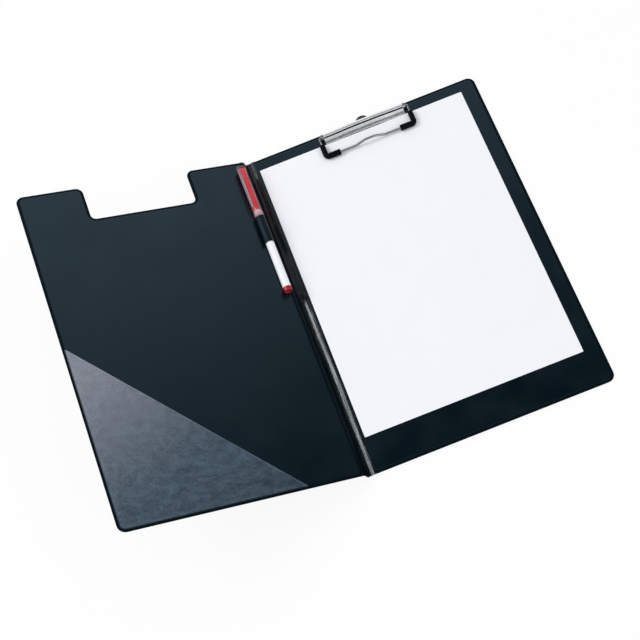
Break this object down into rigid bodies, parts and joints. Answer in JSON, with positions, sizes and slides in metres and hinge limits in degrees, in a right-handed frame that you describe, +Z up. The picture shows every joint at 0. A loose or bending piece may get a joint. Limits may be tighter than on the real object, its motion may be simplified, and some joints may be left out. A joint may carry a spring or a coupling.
{
  "type": "clipboard folder",
  "caption": "Film covered clipboard with a wire bail clip, joined by a film spine to a notched front cover with a clear corner pocket and a pen in a loop.",
  "frame": {"origin": "centre of the back panel's underside, on the surface that it lies on", "axes": "+X across the panel away from the spine, +Y up the sheet towards the clip, +Z up off the surface"},
  "size_m": [0.4462, 0.3487, 0.0969],
  "materials": {
    "black_vinyl": "satin",
    "greyboard": "matte",
    "clear_film": "gloss",
    "nickel_plate": "polished",
    "rivet_steel": "satin",
    "sleeve_rubber": "matte",
    "black_lacquer": "satin",
    "white_paper": "matte",
    "white_plastic": "gloss",
    "red_plastic": "gloss",
    "clear_plastic": "gloss",
    "tip_steel": "satin",
    "ink_fibre": "matte"
  },
  "bodies": {
    "back_panel": {"back_outer_skin": "black_vinyl", "back_board_core": "greyboard", "back_inner_lining": "black_vinyl", "clip_plate": "nickel_plate", "clip_rivets": "rivet_steel"},
    "spine_back": {"spine_strip_back": "black_vinyl"},
    "spine_cover": {"spine_strip_cover": "black_vinyl"},
    "front_cover": {"cover_outer_skin": "black_vinyl", "cover_board_core": "greyboard", "cover_inner_lining": "black_vinyl", "corner_pocket": "clear_film", "pen_loop": "black_vinyl"},
    "bail": {"bail_wire": "nickel_plate", "bail_sleeve_left": "sleeve_rubber", "bail_sleeve_right": "sleeve_rubber"},
    "hanger": {"hanging_eye": "black_lacquer"},
    "paper": {"paper_sheets": "white_paper"},
    "pen": {"pen_barrel": "white_plastic", "pen_end_plug": "red_plastic", "pen_section": "white_plastic", "pen_tip": "tip_steel", "pen_ink_reservoir": "ink_fibre"},
    "pen_cap": {"pen_cap": "clear_plastic", "pen_cap_liner": "red_plastic", "pen_cap_clip": "clear_plastic"}
  },
  "joints": [
    {"name": "cover_fold", "type": "hinge", "parent": "back_panel", "child": "front_cover", "pos_m": [-0.11763, 0, 0.01003], "axis": [0, 1, 0], "range_deg": [0, 157]},
    {"name": "back_film_fold", "type": "hinge", "parent": "back_panel", "child": "spine_back", "pos_m": [-0.116, 0, 0.0011], "axis": [0, 1, 0], "range_deg": [0, 109.3]},
    {"name": "cover_film_fold", "type": "hinge", "parent": "front_cover", "child": "spine_cover", "pos_m": [-0.12297, 0, 0.0081], "axis": [0, 1, 0], "range_deg": [-131.8, 0]},
    {"name": "bail_lift", "type": "hinge", "parent": "back_panel", "child": "bail", "pos_m": [0, 0.1673, 0.0053], "axis": [-1, 0, 0], "range_deg": [0, 110], "stiffness_Nm_per_rad": 0.02, "springref_deg": -34.38},
    {"name": "eye_slide", "type": "slide", "parent": "back_panel", "child": "hanger", "axis": [0, 1, 0], "range_m": [0, 0.0066]},
    {"name": "paper_pull", "type": "slide", "parent": "back_panel", "child": "paper", "axis": [0, -1, 0], "range_m": [0, 0.3]},
    {"name": "pen_slide", "type": "slide", "parent": "front_cover", "child": "pen", "axis": [0, 1, 0], "range_m": [0, 0.09]},
    {"name": "cap_pull", "type": "slide", "parent": "pen", "child": "pen_cap", "axis": [0, 1, 0], "range_m": [0, 0.06]}
  ],
  "couplings": [
    {"joint": "back_film_fold", "follows": "cover_fold", "ratio": 0.69575},
    {"joint": "cover_film_fold", "follows": "cover_fold", "ratio": -0.83928}
  ]
}
